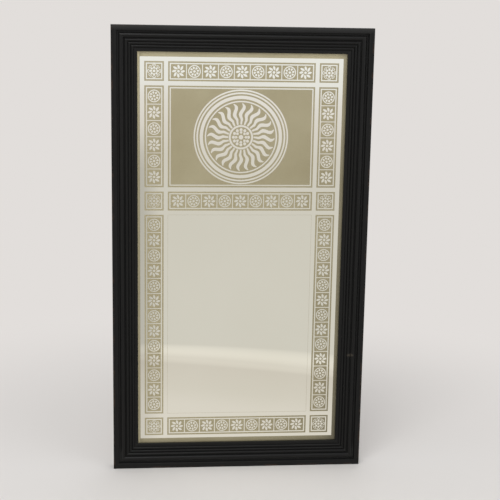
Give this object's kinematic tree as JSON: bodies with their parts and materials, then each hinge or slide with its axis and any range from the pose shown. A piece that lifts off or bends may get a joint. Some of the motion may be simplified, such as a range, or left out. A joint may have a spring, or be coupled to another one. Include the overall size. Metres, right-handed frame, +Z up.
{
  "type": "pub mirror",
  "caption": "Tall mirror plate with an etched tile border and a sun panel, in a mitred black reeded wooden frame with a backing board and hanging rings.",
  "frame": {"origin": "middle of the backing board's rear face, which faces the wall", "axes": "+X to the right as seen from the front, +Y into the wall, +Z up; the front faces -Y"},
  "size_m": [0.71, 0.041, 1.25],
  "materials": {
    "black_wood": "satin ebonised paint, lightly worn",
    "mirror_plate": "silvered glass",
    "etched_silver": "silvering behind acid-etched glass, satin khaki",
    "black_felt": "felt",
    "softwood": "bare softwood",
    "hardboard": "pressed fibreboard",
    "nail_steel": "bright nail steel",
    "plated_steel": "zinc plate",
    "pad_rubber": "matt rubber"
  },
  "bodies": {
    "frame": {"top_rail": "black_wood", "bottom_rail": "black_wood", "left_stile": "black_wood", "right_stile": "black_wood", "corner_v_nails": "nail_steel", "top_rebate_felt": "black_felt", "bottom_rebate_felt": "black_felt", "left_rebate_felt": "black_felt", "right_rebate_felt": "black_felt", "mirror_glass": "mirror_plate", "setting_blocks": "softwood", "side_packers": "softwood", "glass_blocks": "softwood", "backing_board": "hardboard", "board_pins": "nail_steel", "left_hanger_strap": "plated_steel", "right_hanger_strap": "plated_steel", "hanger_screws": "plated_steel", "wall_pads": "pad_rubber"},
    "left_ring": {"left_hanger_ring": "plated_steel"},
    "right_ring": {"right_hanger_ring": "plated_steel"}
  },
  "joints": [
    {"name": "left_ring_hinge", "type": "hinge", "parent": "frame", "child": "left_ring", "pos_m": [-0.335, 0.00023, 0.325], "axis": [1, 0, 0], "range_deg": [0, 180]},
    {"name": "right_ring_hinge", "type": "hinge", "parent": "frame", "child": "right_ring", "pos_m": [0.335, 0.00023, 0.325], "axis": [1, 0, 0], "range_deg": [0, 180]}
  ]
}
